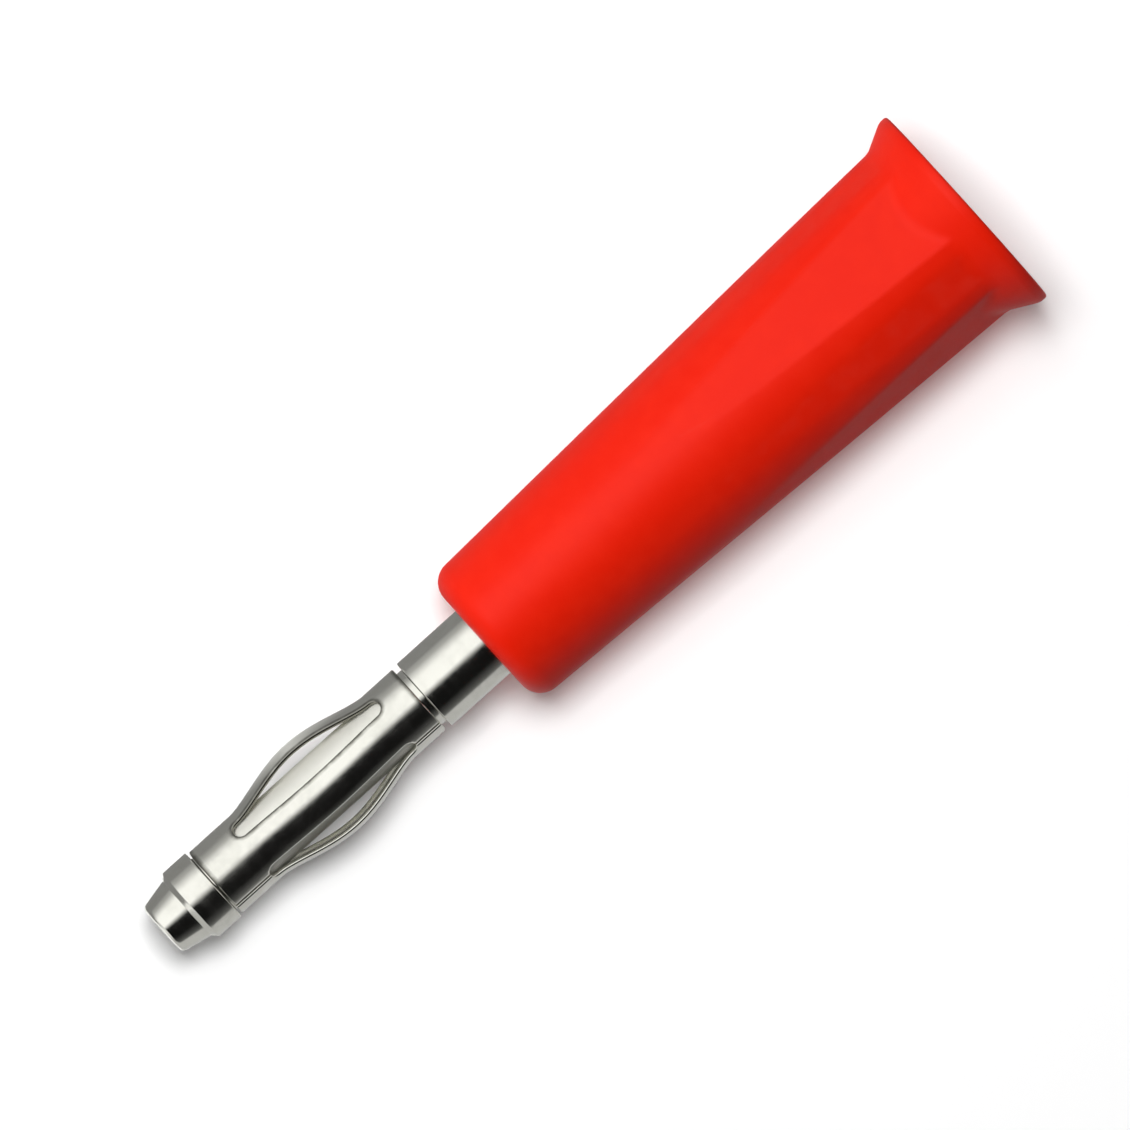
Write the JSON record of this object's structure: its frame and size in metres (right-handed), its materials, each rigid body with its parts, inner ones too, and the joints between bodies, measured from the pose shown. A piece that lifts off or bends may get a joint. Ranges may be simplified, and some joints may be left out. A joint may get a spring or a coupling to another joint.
{
  "type": "banana plug",
  "caption": "Straight test-lead plug with a bowed leaf spring on a turned contact stud and a screw-on tapered insulating handle with grip flats and a flared rear flange.",
  "frame": {"origin": "centre of the flat rear face of the flange, on which the plug stands", "axes": "+Z along the plug's axis from the flange to the tip; the viewer of the picture looks along +Y"},
  "size_m": [0.0114, 0.0114, 0.051],
  "materials": {
    "handle_nylon": "semi-gloss moulded red nylon",
    "stud_nickel": "bright nickel plate on turned brass",
    "spring_nickel": "bright nickel plate on rolled spring sheet"
  },
  "bodies": {
    "handle": {"handle": "handle_nylon"},
    "spring": {"spring": "spring_nickel"},
    "stud": {"stud": "stud_nickel"}
  },
  "joints": [
    {"name": "stud_travel", "type": "slide", "parent": "handle", "child": "spring", "axis": [0, 0, 1], "range_m": [0, 0.008]},
    {"name": "stud_turn", "type": "hinge", "parent": "spring", "child": "stud", "pos_m": [0, 0, 0.0411], "axis": [0, 0, 1], "range_deg": [0, 3600]}
  ],
  "couplings": [
    {"joint": "stud_turn", "follows": "stud_travel", "rad_per_m": 7853.9}
  ]
}
